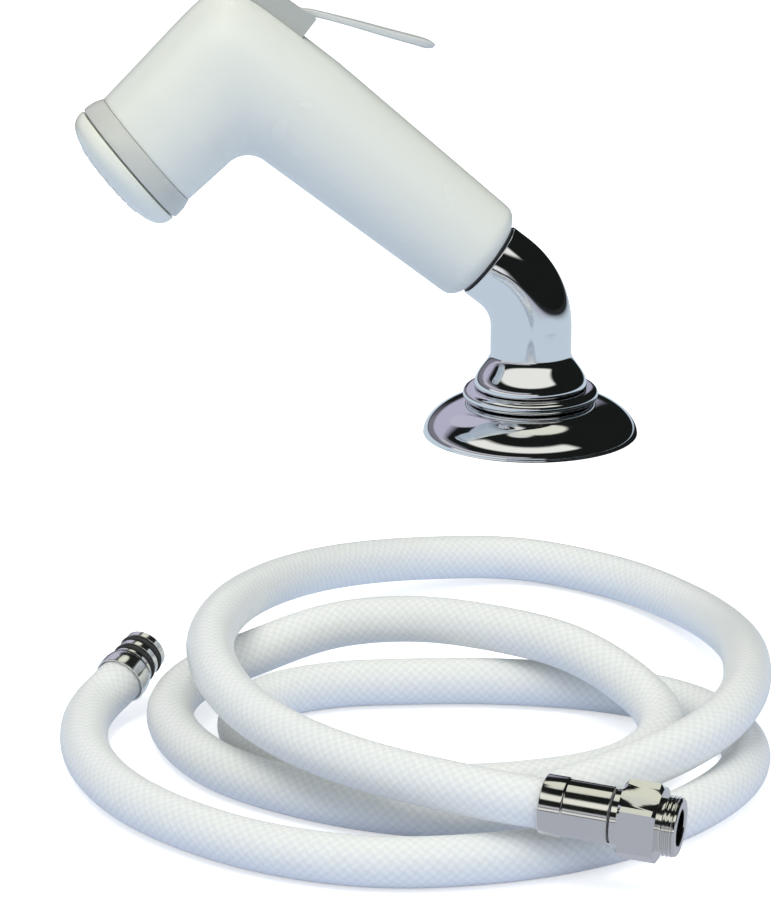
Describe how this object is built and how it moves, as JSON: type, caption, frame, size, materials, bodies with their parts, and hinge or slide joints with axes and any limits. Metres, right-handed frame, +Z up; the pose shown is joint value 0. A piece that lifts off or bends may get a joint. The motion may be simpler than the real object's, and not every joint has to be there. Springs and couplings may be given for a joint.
{
  "type": "deck-mounted hand spray faucet",
  "caption": "Hand spray with a thumb lever and a domed spray face, resting in a chromed elbow holder on a round deck flange, with a loose coiled supply hose.",
  "frame": {"origin": "centre of the holder's deck flange, on the deck's surface", "axes": "+Z up out of the deck; the hand spray leans out of its holder towards -X; -Y is the front, where the hose lies"},
  "size_m": [0.2025, 0.439, 0.1505],
  "materials": {
    "chrome": "polished",
    "stainless_steel": "satin",
    "brass": "machined",
    "white_plastic": "gloss",
    "pearl_plastic": "gloss",
    "light_grey_plastic": "satin",
    "grey_plastic": "satin",
    "natural_nylon": "satin",
    "black_nylon": "satin",
    "black_rubber": "matt",
    "clear_braided_pvc": "gloss"
  },
  "bodies": {
    "holder": {"mount_plate": "stainless_steel", "deck_gasket": "black_rubber", "flange_cover": "chrome", "neck_ring": "chrome", "elbow_socket": "chrome", "socket_liner": "black_nylon", "supply_hose": "clear_braided_pvc", "hose_ferrule": "chrome", "hose_union": "chrome", "plug_sleeve": "chrome"},
    "inlet": {"inlet_tail": "brass", "tail_clip": "stainless_steel", "tail_seal": "black_rubber", "inlet_screen": "stainless_steel", "inlet_washer": "black_rubber"},
    "handset": {"handset_body": "white_plastic", "water_tube": "white_plastic", "valve_housing": "brass", "housing_seal_upper": "black_rubber", "housing_seal_lower": "black_rubber", "valve_cap": "natural_nylon", "stem_seal": "black_rubber", "return_spring": "stainless_steel", "outlet_funnel": "natural_nylon", "face_ring": "light_grey_plastic", "diffuser_disc": "natural_nylon", "face_gasket": "black_rubber", "spray_plate": "pearl_plastic", "lever_bracket": "grey_plastic", "pivot_pin": "stainless_steel", "bracket_screw": "stainless_steel"},
    "valve": {"valve_stem": "stainless_steel", "seat_washer": "black_rubber", "valve_disc": "brass"},
    "lever": {"lever": "light_grey_plastic"},
    "plug": {"plug_nipple": "chrome", "plug_seal_1": "black_rubber", "plug_seal_2": "black_rubber"}
  },
  "joints": [
    {"name": "handset_lift", "type": "slide", "parent": "holder", "child": "inlet", "axis": [-0.788, 0, 0.6157], "range_m": [0, 0.06]},
    {"name": "handset_turn", "type": "hinge", "parent": "inlet", "child": "handset", "pos_m": [-0.01479, 0, 0.05932], "axis": [-0.788, 0, 0.6157], "continuous": true},
    {"name": "lever_press", "type": "hinge", "parent": "handset", "child": "lever", "pos_m": [-0.0855, 0.00347, 0.14585], "axis": [-0.0857, 0.9903, -0.1097], "range_deg": [0, 15.5], "stiffness_Nm_per_rad": 0.25, "springref_deg": -17.19},
    {"name": "valve_stroke", "type": "slide", "parent": "handset", "child": "valve", "axis": [-0.6097, -0.1392, -0.7803], "range_m": [0, 0.003], "deforming": ["return_spring"]},
    {"name": "plug_turn", "type": "hinge", "parent": "holder", "child": "plug", "pos_m": [-0.1188, -0.269, 0.01], "axis": [0.4506, 0.8211, 0.3505], "continuous": true}
  ],
  "couplings": [
    {"joint": "valve_stroke", "follows": "lever_press", "m_per_rad": 0.011}
  ]
}
